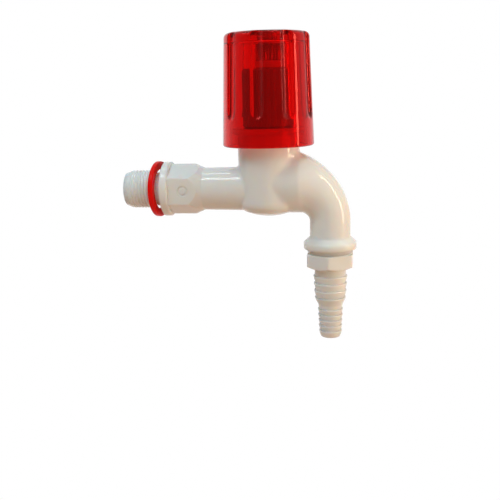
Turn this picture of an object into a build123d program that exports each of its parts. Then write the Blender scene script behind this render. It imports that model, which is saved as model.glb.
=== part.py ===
from build123d import *

import math
import os

# A moulded plastic bib tap of the screw-down kind, with a hose nozzle, in millimetres.
# The origin is on the inlet axis, in the wall-side face of the collar.
# +X runs from the wall towards the spout, +Z is up along the spindle, and the tap is shut.

# Inlet, collar and hexagon
THREAD_DIAMETER = 20.955
INLET_REACH = 21.5
INLET_LEAD_LENGTH = 3.5
INLET_LEAD_DEPTH = 1.4
THREAD_RELIEF_LENGTH = 6.0
THREAD_RELIEF_DEPTH = 1.2
COLLAR_DIAMETER = 30.2
COLLAR_THICKNESS = 4.74
COLLAR_ROUNDING = 1.3
HEX_ACROSS_FLATS = 25.6
HEX_CHAMFER_START = 15.8
HEX_END = 23.0
HEX_RIDGE_ROUNDING = 5.5
HEX_EDGE_ROUNDING = 0.8
MOULD_MARK_X = 12.95
MOULD_MARK_DIAMETER = 5.8
MOULD_MARK_CORE_DIAMETER = 3.6
MOULD_MARK_DEPTH = 0.35

# Tube, valve chamber and neck
TUBE_DIAMETER_AT_HEX = 23.3
TUBE_DIAMETER_AT_NECK = 24.3
SPINDLE_X = 59.03
NECK_DIAMETER = 33.4
NECK_FLANGE_DIAMETER = 39.0
NECK_FLANGE_LOW_Z = 30.0
NECK_TOP_Z = 33.0
BULB_DROP = 1.6
BULB_DOME_RADIUS = 34.0
BULB_ROUNDING = 6.0
BARREL_INSET = 0.4
BARREL_RUN = 0.67
BARREL_AXIS_Z = 3.1
TUBE_CREASE_ROUNDING = 2.0
BARREL_CREASE_ROUNDING = 4.0

# Elbow and spout
SPOUT_DIAMETER = 22.1
ELBOW_INNER_RADIUS = 4.7
ELBOW_SECTIONS = 4
ELBOW_TAPER_POWER = 2.2
SPOUT_SHOULDER_Z = -26.4
SPOUT_FLANGE_DIAMETER = 28.9
SPOUT_FLANGE_TOP_Z = -29.5
SPOUT_FLANGE_LOW_Z = -33.2
SPOUT_LIP_DIAMETER = 24.9
SPOUT_END_Z = -35.2
SPOUT_FLANGE_ROUNDING = 0.7

# Waterway
INLET_BORE_DIAMETER = 13.0
SEAT_BORE_DIAMETER = 11.0
SEAT_LIP_WIDTH = 2.2
SEAT_LIP_HEIGHT = 1.5
SEAT_WEB_THICKNESS = 3.0
WATER_PARTITION = 3.0
WATER_POCKET_ROUNDING = 3.0
CHAMBER_DIAMETER = 22.0
BONNET_THREAD_DIAMETER = 23.0
BODY_WALL = 3.6
SPOUT_BORE_DIAMETER = 14.4
SPOUT_THREAD_DIAMETER = 20.9
SPOUT_THREAD_DEPTH = 7.0

# Inlet gasket, hanging loose on the thread
GASKET_OUTER_DIAMETER = 30.8
GASKET_INNER_DIAMETER = 22.2
GASKET_THICKNESS = 2.7
GASKET_LEAN = 5.5
GASKET_ROUNDING = 0.6

# Hose nozzle
NOZZLE_HEX_ACROSS_FLATS = 24.7
NOZZLE_HEX_HEIGHT = 8.2
NOZZLE_HEX_CHAMFER = 1.6
NOZZLE_SEAT_DIAMETER = 24.0
NOZZLE_SEAT_THICKNESS = 0.6
NOZZLE_GASKET_THICKNESS = 1.6
NOZZLE_BORE_DIAMETER = 11.0
NOZZLE_TAIL_BORE_DIAMETER = 7.6
NOZZLE_BORE_STEP_Z = -61.5
NOZZLE_CONE_END_Z = -64.75
UPPER_BARB_COUNT = 4
UPPER_BARB_FIRST_Z = -48.2
UPPER_BARB_PITCH = 4.07
UPPER_BARB_DIAMETER = 18.9
UPPER_BARB_LAST_DIAMETER = 17.7
LOWER_BARB_COUNT = 5
LOWER_BARB_FIRST_Z = -67.1
LOWER_BARB_PITCH = 3.13
LOWER_BARB_DIAMETER = 14.4
LOWER_BARB_LAST_DIAMETER = 13.2
BARB_DEPTH = 0.75
NOZZLE_END_Z = -83.4
NOZZLE_END_DIAMETER = 10.6

# Bonnet
BONNET_HEAD_DIAMETER = 27.2
BONNET_RIB_COUNT = 26
BONNET_RIB_DEPTH = 0.7
BONNET_TOP_Z = 64.0
BONNET_TOP_CHAMFER = 1.2
BONNET_GASKET_THICKNESS = 1.0

# Spindle and its seals
SPINDLE_THREAD_DIAMETER = 14.4
SPINDLE_THREAD_LOW_Z = 17.2
SPINDLE_THREAD_TOP_Z = 27.0
SPINDLE_STEM_DIAMETER = 11.2
SPINDLE_SHOULDER_DIAMETER = 17.0
SPINDLE_SHOULDER_HEIGHT = 3.6
SPINDLE_LIFT = 5.0
SPLINE_COUNT = 18
SPLINE_DIAMETER = 10.8
SPLINE_DEPTH = 0.7
SPLINE_LENGTH = 8.2
O_RING_SECTION = 1.8
O_RING_SQUEEZE_GAP = 0.03
O_RING_LOW_Z = 46.0
O_RING_PITCH = 6.0
O_RING_COUNT = 2

# Valve
JUMPER_DIAMETER = 15.4
JUMPER_THICKNESS = 2.5
JUMPER_STEM_DIAMETER = 5.0
JUMPER_STEM_LENGTH = 8.0
SEAT_WASHER_DIAMETER = 15.8
SEAT_WASHER_THICKNESS = 2.5
WASHER_SCREW_DIAMETER = 3.0
WASHER_SCREW_HEAD_DIAMETER = 5.6
WASHER_SCREW_HEAD_HEIGHT = 1.6
WASHER_SCREW_LENGTH = 5.5

# Handle
HANDLE_RIM_Z = 23.3
HANDLE_RIM_DIAMETER = 49.5
HANDLE_TOP_DIAMETER = 45.4
HANDLE_TOP_ROUNDING = 2.6
HANDLE_RIM_ROUNDING = 1.2
HANDLE_WALL = 3.5
HANDLE_ROOF = 5.0
FLUTE_COUNT = 9
FLUTE_ANGLE = -95.7
FLUTE_RADIUS = 4.4
FLUTE_DEPTH = 1.8
FLUTE_LOW_Z = 37.8
FLUTE_EXIT_RADIUS = 9.0
FLUTE_EXIT_TURN = 60.0
HUB_DIAMETER = 18.0
HUB_WEB = 1.7

# Handle screw and cap
HANDLE_SCREW_DIAMETER = 3.5
HANDLE_SCREW_HEAD_DIAMETER = 7.0
HANDLE_SCREW_HEAD_HEIGHT = 1.8
HANDLE_SCREW_LENGTH = 12.0
CAP_DIAMETER = 15.0
CAP_THICKNESS = 1.8
CAP_PLUG_LENGTH = 0.8

# Clearances, each per side
THREAD_CLEARANCE = 0.05
RUNNING_CLEARANCE = 0.05
SLIP_CLEARANCE = 0.1
REST_GAP = 0.3

# Derived places of the body
THREAD_RADIUS = THREAD_DIAMETER / 2
BARREL_RADIUS = NECK_DIAMETER / 2 - BARREL_INSET
BULB_BOTTOM_Z = BARREL_AXIS_Z - BARREL_RADIUS - BULB_DROP
SPOUT_RADIUS = SPOUT_DIAMETER / 2
ELBOW_PIVOT_X = SPINDLE_X + NECK_DIAMETER / 2 + BARREL_RUN
ELBOW_PIVOT_Z = BARREL_AXIS_Z - BARREL_RADIUS - ELBOW_INNER_RADIUS
SPOUT_X = ELBOW_PIVOT_X + ELBOW_INNER_RADIUS + SPOUT_RADIUS
CHAMBER_FLOOR_Z = INLET_BORE_DIAMETER / 2 + SEAT_WEB_THICKNESS
SEAT_Z = CHAMBER_FLOOR_Z + SEAT_LIP_HEIGHT
WATER_POCKET_END_X = SPINDLE_X + INLET_BORE_DIAMETER / 2
SPOUT_THREAD_TOP_Z = SPOUT_END_Z + SPOUT_THREAD_DEPTH

# Derived places of the valve, the bonnet and the spindle
WASHER_TOP_Z = SEAT_Z + SEAT_WASHER_THICKNESS
JUMPER_TOP_Z = WASHER_TOP_Z + JUMPER_THICKNESS
BONNET_SEAT_Z = NECK_TOP_Z + BONNET_GASKET_THICKNESS
BONNET_PLUG_LOW_Z = JUMPER_TOP_Z + SPINDLE_LIFT + REST_GAP
BONNET_THREAD_LOW_Z = BONNET_PLUG_LOW_Z - REST_GAP
SHOULDER_LOW_Z = BONNET_TOP_Z + REST_GAP
SHOULDER_TOP_Z = SHOULDER_LOW_Z + SPINDLE_SHOULDER_HEIGHT
SPINDLE_TOP_Z = SHOULDER_TOP_Z + SPLINE_LENGTH
STEM_BORE_RADIUS = SPINDLE_STEM_DIAMETER / 2 + RUNNING_CLEARANCE
SPINDLE_BORE_TOP_Z = SPINDLE_THREAD_TOP_Z + SPINDLE_LIFT + REST_GAP

# Derived places of the handle
SCREW_SEAT_Z = SPINDLE_TOP_Z + HUB_WEB
CAP_SEAT_Z = SCREW_SEAT_Z + HANDLE_SCREW_HEAD_HEIGHT + REST_GAP + CAP_PLUG_LENGTH
HANDLE_TOP_Z = CAP_SEAT_Z + CAP_THICKNESS
SCREW_POCKET_RADIUS = HANDLE_SCREW_HEAD_DIAMETER / 2 + REST_GAP
HANDLE_ROOF_Z = HANDLE_TOP_Z - HANDLE_ROOF

UPWARD = (Align.CENTER, Align.CENTER, Align.MIN)


def turned_about_x(*outline):
    """The solid that an outline of (x, radius) points makes when it turns about the inlet axis."""
    face = make_face(Plane.XZ * Polyline(*outline, close=True))
    return revolve(face, Axis.X)


def turned_about_z(*outline):
    """The solid that an outline of (radius, z) points makes when it turns about the Z axis."""
    face = make_face(Plane.XZ * Polyline(*outline, close=True))
    return revolve(face, Axis.Z)


def rod(diameter, low, high):
    """A round bar on the Z axis between two heights."""
    return Pos(0, 0, low) * Cylinder(diameter / 2, high - low, align=UPWARD)


def ring(outer_diameter, inner_diameter, low, high):
    """A flat ring on the Z axis between two heights."""
    return rod(outer_diameter, low, high) - rod(inner_diameter, low, high)


def toothed_bar(diameter, depth, count, low, high):
    """A bar on the Z axis with straight V grooves along it."""
    points = []
    for step in range(2 * count):
        radius = diameter / 2 - depth * (step % 2)
        angle = math.pi * step / count
        points.append((radius * math.cos(angle), radius * math.sin(angle)))
    section = make_face(Polyline(*points, close=True))
    return extrude(Pos(0, 0, low) * section, high - low)


def inlet_shank():
    """The threaded inlet, at the thread's major diameter, with its lead and its relief at the collar."""
    relief_radius = THREAD_RADIUS - THREAD_RELIEF_DEPTH
    return turned_about_x(
        (-INLET_REACH, 0),
        (-INLET_REACH, THREAD_RADIUS - INLET_LEAD_DEPTH),
        (-INLET_REACH + INLET_LEAD_LENGTH, THREAD_RADIUS),
        (-THREAD_RELIEF_LENGTH - THREAD_RELIEF_DEPTH, THREAD_RADIUS),
        (-THREAD_RELIEF_LENGTH, relief_radius),
        (COLLAR_THICKNESS, relief_radius),
        (COLLAR_THICKNESS, 0),
    )


def collar():
    """The round collar that presses the gasket to the wall."""
    radius = COLLAR_DIAMETER / 2
    disc = turned_about_x((0, 0), (0, radius), (COLLAR_THICKNESS, radius), (COLLAR_THICKNESS, 0))
    return fillet(disc.edges().filter_by(GeomType.CIRCLE), COLLAR_ROUNDING)


def spanner_hexagon():
    """The spanner hexagon, ridges up and down, with a cone turned on the end that meets the tube."""
    section = RegularPolygon(HEX_ACROSS_FLATS / 2, 6, major_radius=False, rotation=30)
    corners = section.vertices().sort_by(Axis.Y)
    section = fillet([corners[0], corners[-1]], HEX_RIDGE_ROUNDING)
    side_corners = section.vertices().filter_by(lambda v: abs(v.X) > HEX_ACROSS_FLATS / 4)
    section = fillet(side_corners, HEX_EDGE_ROUNDING)
    bar = extrude(Plane.YZ * section, HEX_END)
    corner_radius = HEX_ACROSS_FLATS / math.sqrt(3)
    envelope = turned_about_x(
        (COLLAR_THICKNESS / 2, 0),
        (COLLAR_THICKNESS / 2, corner_radius),
        (HEX_CHAMFER_START, corner_radius),
        (HEX_END, TUBE_DIAMETER_AT_HEX / 2),
        (HEX_END, 0),
    )
    return bar & envelope


def mould_mark():
    """The shallow round groove that the mould leaves in the hexagon's front flat."""
    groove = ring(MOULD_MARK_DIAMETER, MOULD_MARK_CORE_DIAMETER, 0, MOULD_MARK_DEPTH)
    return Pos(MOULD_MARK_X, -HEX_ACROSS_FLATS / 2, 0) * Rot(-90, 0, 0) * groove


def inlet_tube():
    """The tube from the collar to the valve chamber, widening a little towards the neck."""
    return turned_about_x(
        (COLLAR_THICKNESS / 2, 0),
        (COLLAR_THICKNESS / 2, TUBE_DIAMETER_AT_HEX / 2),
        (HEX_END, TUBE_DIAMETER_AT_HEX / 2),
        (SPINDLE_X, TUBE_DIAMETER_AT_NECK / 2),
        (SPINDLE_X, 0),
    )


def neck_and_bulb():
    """The upright neck with the handle's guide flange on top and the domed bulb below."""
    radius = NECK_DIAMETER / 2
    dome_centre = BULB_BOTTOM_Z + BULB_DOME_RADIUS
    sweep_angle = math.degrees(math.asin(radius / BULB_DOME_RADIUS))
    dome = CenterArc((0, dome_centre), BULB_DOME_RADIUS, -90, sweep_angle)
    sides = Polyline(
        dome @ 1,
        (radius, NECK_FLANGE_LOW_Z),
        (NECK_FLANGE_DIAMETER / 2, NECK_FLANGE_LOW_Z),
        (NECK_FLANGE_DIAMETER / 2, NECK_TOP_Z),
        (0, NECK_TOP_Z),
        dome @ 0,
    )
    section = make_face(dome + sides)
    dome_corner = section.vertices().sort_by_distance(dome @ 1)[0]
    section = fillet(dome_corner, BULB_ROUNDING)
    return Pos(SPINDLE_X, 0, 0) * revolve(Plane.XZ * section, Axis.Z)


def elbow():
    """The elbow between barrel and spout, lofted through circles whose planes fan about its inner corner."""
    sections = []
    for step in range(ELBOW_SECTIONS):
        turn = step / (ELBOW_SECTIONS - 1)
        angle = math.radians(90 * turn)
        radius = SPOUT_RADIUS + (BARREL_RADIUS - SPOUT_RADIUS) * (1 - turn) ** ELBOW_TAPER_POWER
        reach = ELBOW_INNER_RADIUS + radius
        centre = (
            ELBOW_PIVOT_X + reach * math.sin(angle),
            0,
            ELBOW_PIVOT_Z + reach * math.cos(angle),
        )
        plane = Plane(origin=centre, x_dir=(0, 1, 0), z_dir=(math.cos(angle), 0, -math.sin(angle)))
        sections.append(plane * Circle(radius))
    return loft(sections)


def barrel():
    """The level round barrel between the valve chamber and the elbow."""
    bar = Cylinder(BARREL_RADIUS, ELBOW_PIVOT_X - SPINDLE_X, align=UPWARD)
    return Pos(SPINDLE_X, 0, BARREL_AXIS_Z) * Rot(0, 90, 0) * bar


def valve_housing():
    """The neck and bulb with the tube and the barrel run into them, their creases rounded as moulded."""
    neck = neck_and_bulb()
    level_barrel = barrel()
    housing = neck + level_barrel
    housing = fillet(new_edges(neck, level_barrel, combined=housing), BARREL_CREASE_ROUNDING)
    tube = inlet_tube()
    joined = housing + tube
    return fillet(new_edges(housing, tube, combined=joined), TUBE_CREASE_ROUNDING)


def spout_end():
    """The straight spout with its sloping shoulder, flange and lip."""
    flange_radius = SPOUT_FLANGE_DIAMETER / 2
    lip_radius = SPOUT_LIP_DIAMETER / 2
    solid = turned_about_z(
        (0, ELBOW_PIVOT_Z),
        (SPOUT_RADIUS, ELBOW_PIVOT_Z),
        (SPOUT_RADIUS, SPOUT_SHOULDER_Z),
        (flange_radius, SPOUT_FLANGE_TOP_Z),
        (flange_radius, SPOUT_FLANGE_LOW_Z),
        (lip_radius, SPOUT_FLANGE_LOW_Z),
        (lip_radius, SPOUT_END_Z),
        (0, SPOUT_END_Z),
    )
    rims = solid.edges().filter_by(GeomType.CIRCLE).group_by(SortBy.RADIUS)[-1]
    solid = fillet(rims, min(SPOUT_FLANGE_ROUNDING, (flange_radius - lip_radius) / 2))
    return Pos(SPOUT_X, 0, 0) * solid


def inlet_bore():
    """The bore from the inlet to the round-ended pocket under the seat."""
    bore = Cylinder(INLET_BORE_DIAMETER / 2, INLET_REACH + WATER_POCKET_END_X, align=UPWARD)
    bore = fillet(bore.edges().filter_by(GeomType.CIRCLE).sort_by(Axis.Z)[-1], WATER_POCKET_ROUNDING)
    return Pos(-INLET_REACH, 0, 0) * Rot(0, 90, 0) * bore


def valve_chamber():
    """The chamber round the raised seat, with the seat's bore below and the bonnet's thread above."""
    chamber = rod(CHAMBER_DIAMETER, CHAMBER_FLOOR_Z, NECK_TOP_Z)
    thread = rod(BONNET_THREAD_DIAMETER, BONNET_THREAD_LOW_Z, NECK_TOP_Z)
    seat_lip = rod(SEAT_BORE_DIAMETER + 2 * SEAT_LIP_WIDTH, CHAMBER_FLOOR_Z, SEAT_Z)
    seat_bore = rod(SEAT_BORE_DIAMETER, 0, SEAT_Z)
    return Pos(SPINDLE_X, 0, 0) * (chamber + thread - seat_lip + seat_bore)


def outlet_chamber():
    """The wide part of the outlet beside the valve chamber, round-ended towards the elbow."""
    start_x = WATER_POCKET_END_X + WATER_PARTITION
    bore = Cylinder(BARREL_RADIUS - BODY_WALL, ELBOW_PIVOT_X - start_x, align=UPWARD)
    bore = fillet(bore.edges().filter_by(GeomType.CIRCLE).sort_by(Axis.Z)[-1], WATER_POCKET_ROUNDING)
    return Pos(start_x, 0, BARREL_AXIS_Z) * Rot(0, 90, 0) * bore


def spout_passage():
    """The round passage from the outlet chamber round the elbow and down the spout."""
    bend_radius = BARREL_AXIS_Z - ELBOW_PIVOT_Z
    bend_centre = (SPOUT_X - bend_radius, 0, ELBOW_PIVOT_Z)
    bend_plane = Plane(origin=bend_centre, x_dir=(0, 0, 1), z_dir=(0, 1, 0))
    bend = bend_plane * CenterArc((0, 0), bend_radius, 0, 90)
    drop = Line((SPOUT_X, 0, ELBOW_PIVOT_Z), (SPOUT_X, 0, SPOUT_THREAD_TOP_Z - NOZZLE_GASKET_THICKNESS))
    section = Plane(origin=bend @ 0, z_dir=(1, 0, 0)) * Circle(SPOUT_BORE_DIAMETER / 2)
    return sweep(section, path=bend + drop)


def tap_body():
    """The white moulding, from the inlet thread through the valve chamber to the spout."""
    outside = inlet_shank() + collar() + spanner_hexagon() + valve_housing() + elbow() + spout_end()
    thread = Pos(SPOUT_X, 0, 0) * rod(SPOUT_THREAD_DIAMETER, SPOUT_END_Z, SPOUT_THREAD_TOP_Z)
    body = outside - mould_mark() - inlet_bore() - valve_chamber() - outlet_chamber()
    return body - spout_passage() - thread


def inlet_gasket():
    """The flat gasket, hanging askew on the relief with its far side against the collar."""
    blank = ring(GASKET_OUTER_DIAMETER, GASKET_INNER_DIAMETER, 0, GASKET_THICKNESS)
    blank = fillet(blank.edges().filter_by(GeomType.CIRCLE), GASKET_ROUNDING)
    far_reach = GASKET_OUTER_DIAMETER / 2 * math.sin(math.radians(GASKET_LEAN))
    leaning = Rot(0, 0, -GASKET_LEAN) * Rot(0, -90, 0) * blank
    return Pos(-far_reach - REST_GAP, 0, 0) * leaning


def barb_outline(count, first_z, pitch, first_diameter, last_diameter):
    """The saw-toothed outline of a run of barbs, from the top, with each shelf facing up."""
    points = []
    for step in range(count):
        crest = first_diameter + (last_diameter - first_diameter) * step / (count - 1)
        shelf_z = first_z - step * pitch
        points.append((crest / 2 - BARB_DEPTH, shelf_z))
        points.append((crest / 2, shelf_z))
    return points


def hose_nozzle():
    """The screwed-in nozzle: thread, seat ring, hexagon and two sizes of barbed tail."""
    hex_top_z = SPOUT_END_Z - NOZZLE_SEAT_THICKNESS
    hex_low_z = hex_top_z - NOZZLE_HEX_HEIGHT
    thread_top_z = SPOUT_THREAD_TOP_Z - NOZZLE_GASKET_THICKNESS
    upper = barb_outline(
        UPPER_BARB_COUNT, UPPER_BARB_FIRST_Z, UPPER_BARB_PITCH, UPPER_BARB_DIAMETER, UPPER_BARB_LAST_DIAMETER
    )
    lower = barb_outline(
        LOWER_BARB_COUNT, LOWER_BARB_FIRST_Z, LOWER_BARB_PITCH, LOWER_BARB_DIAMETER, LOWER_BARB_LAST_DIAMETER
    )
    root_radius = LOWER_BARB_DIAMETER / 2 - BARB_DEPTH
    tail = turned_about_z(
        (0, hex_top_z),
        (UPPER_BARB_DIAMETER / 2 - BARB_DEPTH, hex_top_z),
        *upper,
        (root_radius, NOZZLE_CONE_END_Z),
        *lower,
        (NOZZLE_END_DIAMETER / 2, NOZZLE_END_Z),
        (0, NOZZLE_END_Z),
    )
    hexagon = RegularPolygon(NOZZLE_HEX_ACROSS_FLATS / 2, 6, major_radius=False, rotation=30)
    corner_radius = NOZZLE_HEX_ACROSS_FLATS / math.sqrt(3)
    envelope = turned_about_z(
        (0, hex_top_z),
        (corner_radius, hex_top_z),
        (corner_radius, hex_low_z + NOZZLE_HEX_CHAMFER),
        (corner_radius - 2 * NOZZLE_HEX_CHAMFER, hex_low_z),
        (0, hex_low_z),
    )
    nut = extrude(Pos(0, 0, hex_low_z) * hexagon, NOZZLE_HEX_HEIGHT) & envelope
    seat = rod(NOZZLE_SEAT_DIAMETER, hex_top_z, SPOUT_END_Z)
    thread = rod(SPOUT_THREAD_DIAMETER - 2 * THREAD_CLEARANCE, hex_top_z, thread_top_z)
    bore = rod(NOZZLE_BORE_DIAMETER, NOZZLE_BORE_STEP_Z, thread_top_z)
    tail_bore = rod(NOZZLE_TAIL_BORE_DIAMETER, NOZZLE_END_Z, NOZZLE_BORE_STEP_Z)
    return Pos(SPOUT_X, 0, 0) * (tail + nut + seat + thread - bore - tail_bore)


def nozzle_gasket():
    """The flat ring that the nozzle's end presses against the bottom of the spout thread."""
    outer = SPOUT_THREAD_DIAMETER - 2 * SLIP_CLEARANCE
    low = SPOUT_THREAD_TOP_Z - NOZZLE_GASKET_THICKNESS
    return Pos(SPOUT_X, 0, 0) * ring(outer, NOZZLE_BORE_DIAMETER, low, SPOUT_THREAD_TOP_Z)


def bonnet():
    """The ribbed bonnet that screws into the neck and carries the spindle's thread and seals."""
    head = toothed_bar(BONNET_HEAD_DIAMETER, BONNET_RIB_DEPTH, BONNET_RIB_COUNT, BONNET_SEAT_Z, BONNET_TOP_Z)
    head_radius = BONNET_HEAD_DIAMETER / 2
    crown = turned_about_z(
        (0, BONNET_SEAT_Z),
        (head_radius + BONNET_TOP_CHAMFER, BONNET_SEAT_Z),
        (head_radius + BONNET_TOP_CHAMFER, BONNET_TOP_Z - 2 * BONNET_TOP_CHAMFER),
        (head_radius - BONNET_TOP_CHAMFER, BONNET_TOP_Z),
        (0, BONNET_TOP_Z),
    )
    plug = rod(BONNET_THREAD_DIAMETER - 2 * THREAD_CLEARANCE, BONNET_PLUG_LOW_Z, BONNET_SEAT_Z)
    thread_bore = rod(
        SPINDLE_THREAD_DIAMETER + 2 * RUNNING_CLEARANCE, BONNET_PLUG_LOW_Z, SPINDLE_BORE_TOP_Z
    )
    stem_bore = rod(2 * STEM_BORE_RADIUS, SPINDLE_BORE_TOP_Z, BONNET_TOP_Z)
    return Pos(SPINDLE_X, 0, 0) * ((head & crown) + plug - thread_bore - stem_bore)


def bonnet_gasket():
    """The flat ring between the neck and the bonnet's head."""
    outer = BONNET_HEAD_DIAMETER - 2 * BONNET_RIB_DEPTH
    return Pos(SPINDLE_X, 0, 0) * ring(outer, BONNET_THREAD_DIAMETER, NECK_TOP_Z, BONNET_SEAT_Z)


def o_ring_heights():
    """The heights of the O-rings' middles on the stem."""
    return [O_RING_LOW_Z + step * O_RING_PITCH for step in range(O_RING_COUNT)]


def groove_radius():
    """The radius of the O-ring groove's floor."""
    return STEM_BORE_RADIUS - O_RING_SECTION - 2 * O_RING_SQUEEZE_GAP


def spindle():
    """The spindle: thread, stem with O-ring grooves, shoulder and splined head."""
    thread = rod(SPINDLE_THREAD_DIAMETER, SPINDLE_THREAD_LOW_Z, SPINDLE_THREAD_TOP_Z)
    stem = rod(SPINDLE_STEM_DIAMETER, SPINDLE_THREAD_TOP_Z, SHOULDER_LOW_Z)
    shoulder = rod(SPINDLE_SHOULDER_DIAMETER, SHOULDER_LOW_Z, SHOULDER_TOP_Z)
    head = toothed_bar(SPLINE_DIAMETER, SPLINE_DEPTH, SPLINE_COUNT, SHOULDER_TOP_Z, SPINDLE_TOP_Z)
    solid = thread + stem + shoulder + head
    for height in o_ring_heights():
        half_width = O_RING_SECTION / 2 + SLIP_CLEARANCE
        groove_diameter = 2 * groove_radius()
        solid = solid - ring(2 * STEM_BORE_RADIUS, groove_diameter, height - half_width, height + half_width)
    socket_top_z = JUMPER_TOP_Z + JUMPER_STEM_LENGTH + REST_GAP
    socket = rod(JUMPER_STEM_DIAMETER + 2 * RUNNING_CLEARANCE, SPINDLE_THREAD_LOW_Z, socket_top_z)
    screw_hole = rod(
        HANDLE_SCREW_DIAMETER + 2 * THREAD_CLEARANCE,
        SCREW_SEAT_Z - HANDLE_SCREW_LENGTH - REST_GAP,
        SPINDLE_TOP_Z,
    )
    return Pos(SPINDLE_X, 0, 0) * (solid - socket - screw_hole)


def spindle_o_rings():
    """The O-rings in the stem's grooves."""
    minor = O_RING_SECTION / 2
    major = groove_radius() + O_RING_SQUEEZE_GAP + minor
    return [Pos(SPINDLE_X, 0, height) * Torus(major, minor) for height in o_ring_heights()]


def valve_jumper():
    """The jumper: a plate above the washer, with a stem that slides in the spindle's end."""
    plate = rod(JUMPER_DIAMETER, WASHER_TOP_Z, JUMPER_TOP_Z)
    stem = rod(JUMPER_STEM_DIAMETER, JUMPER_TOP_Z, JUMPER_TOP_Z + JUMPER_STEM_LENGTH)
    screw_top_z = SEAT_Z + WASHER_SCREW_LENGTH + REST_GAP
    hole = rod(WASHER_SCREW_DIAMETER + 2 * THREAD_CLEARANCE, WASHER_TOP_Z, screw_top_z)
    return Pos(SPINDLE_X, 0, 0) * (plate + stem - hole)


def seat_washer():
    """The rubber washer that closes on the seat."""
    hole = WASHER_SCREW_DIAMETER + 2 * SLIP_CLEARANCE
    return Pos(SPINDLE_X, 0, 0) * ring(SEAT_WASHER_DIAMETER, hole, SEAT_Z, WASHER_TOP_Z)


def washer_screw():
    """The screw that holds the washer to the jumper, its head inside the seat's bore."""
    head = rod(WASHER_SCREW_HEAD_DIAMETER, SEAT_Z - WASHER_SCREW_HEAD_HEIGHT, SEAT_Z)
    shank = rod(WASHER_SCREW_DIAMETER, SEAT_Z, SEAT_Z + WASHER_SCREW_LENGTH)
    return Pos(SPINDLE_X, 0, 0) * (head + shank)


def handle_radius(height):
    """The radius of the handle's tapering side at a height."""
    share = (height - HANDLE_RIM_Z) / (HANDLE_TOP_Z - HANDLE_RIM_Z)
    return (HANDLE_RIM_DIAMETER + (HANDLE_TOP_DIAMETER - HANDLE_RIM_DIAMETER) * share) / 2


def flute_cutter():
    """The round cutter of one flute: down along the taper, then out of the wall on an arc."""
    offset = FLUTE_RADIUS - FLUTE_DEPTH
    start_z = HANDLE_TOP_Z + FLUTE_RADIUS
    arc_drop = math.sqrt(FLUTE_EXIT_RADIUS**2 - (FLUTE_EXIT_RADIUS - FLUTE_DEPTH) ** 2)
    turn_z = FLUTE_LOW_Z + arc_drop
    start = Vector(handle_radius(start_z) + offset, 0, start_z)
    turn = Vector(handle_radius(turn_z) + offset, 0, turn_z)
    run = Line(start, turn)
    exit_arc = CenterArc((0, 0), FLUTE_EXIT_RADIUS, 0, FLUTE_EXIT_TURN)
    heading = (turn - start).normalized()
    exit_plane = Plane(
        origin=turn + Vector(-heading.Z, 0, heading.X) * FLUTE_EXIT_RADIUS,
        x_dir=Vector(heading.Z, 0, -heading.X),
        z_dir=(0, -1, 0),
    )
    path = run + exit_plane * exit_arc
    section = Plane(origin=start, x_dir=(0, 1, 0), z_dir=heading) * Circle(FLUTE_RADIUS)
    return sweep(section, path=path)


def handle():
    """The cap handle: a tapering fluted shell with a splined hub under its roof."""
    rim_radius = HANDLE_RIM_DIAMETER / 2
    top_radius = HANDLE_TOP_DIAMETER / 2
    outside = turned_about_z(
        (0, HANDLE_RIM_Z), (rim_radius, HANDLE_RIM_Z), (top_radius, HANDLE_TOP_Z), (0, HANDLE_TOP_Z)
    )
    edges = outside.edges().filter_by(GeomType.CIRCLE).sort_by(Axis.Z)
    outside = fillet(edges[-1], HANDLE_TOP_ROUNDING)
    edges = outside.edges().filter_by(GeomType.CIRCLE).sort_by(Axis.Z)
    outside = fillet(edges[0], HANDLE_RIM_ROUNDING)
    inside = turned_about_z(
        (0, HANDLE_RIM_Z),
        (rim_radius - HANDLE_WALL, HANDLE_RIM_Z),
        (handle_radius(HANDLE_ROOF_Z) - HANDLE_WALL, HANDLE_ROOF_Z),
        (0, HANDLE_ROOF_Z),
    )
    cutter = flute_cutter()
    for step in range(FLUTE_COUNT):
        outside = outside - Rot(0, 0, FLUTE_ANGLE + 360 * step / FLUTE_COUNT) * cutter
    hub = rod(HUB_DIAMETER, SHOULDER_TOP_Z, HANDLE_TOP_Z - HANDLE_ROOF / 2)
    socket_diameter = SPLINE_DIAMETER + 2 * THREAD_CLEARANCE
    socket = toothed_bar(
        socket_diameter, SPLINE_DEPTH, SPLINE_COUNT, SHOULDER_TOP_Z, SPINDLE_TOP_Z + REST_GAP
    )
    cap_recess = rod(CAP_DIAMETER + 2 * SLIP_CLEARANCE, CAP_SEAT_Z, HANDLE_TOP_Z)
    screw_pocket = rod(2 * SCREW_POCKET_RADIUS, SCREW_SEAT_Z, CAP_SEAT_Z)
    screw_hole = rod(HANDLE_SCREW_DIAMETER + 2 * SLIP_CLEARANCE, SPINDLE_TOP_Z, SCREW_SEAT_Z)
    solid = outside - inside + hub - socket - cap_recess - screw_pocket - screw_hole
    return Pos(SPINDLE_X, 0, 0) * solid


def handle_screw():
    """The screw down through the hub into the spindle."""
    head = rod(HANDLE_SCREW_HEAD_DIAMETER, SCREW_SEAT_Z, SCREW_SEAT_Z + HANDLE_SCREW_HEAD_HEIGHT)
    shank = rod(HANDLE_SCREW_DIAMETER, SCREW_SEAT_Z - HANDLE_SCREW_LENGTH, SCREW_SEAT_Z)
    return Pos(SPINDLE_X, 0, 0) * (head + shank)


def handle_cap():
    """The plug cap over the handle screw."""
    disc = rod(CAP_DIAMETER, CAP_SEAT_Z, HANDLE_TOP_Z)
    plug = rod(2 * (SCREW_POCKET_RADIUS - SLIP_CLEARANCE), CAP_SEAT_Z - CAP_PLUG_LENGTH, CAP_SEAT_Z)
    return Pos(SPINDLE_X, 0, 0) * (disc + plug)


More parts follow.
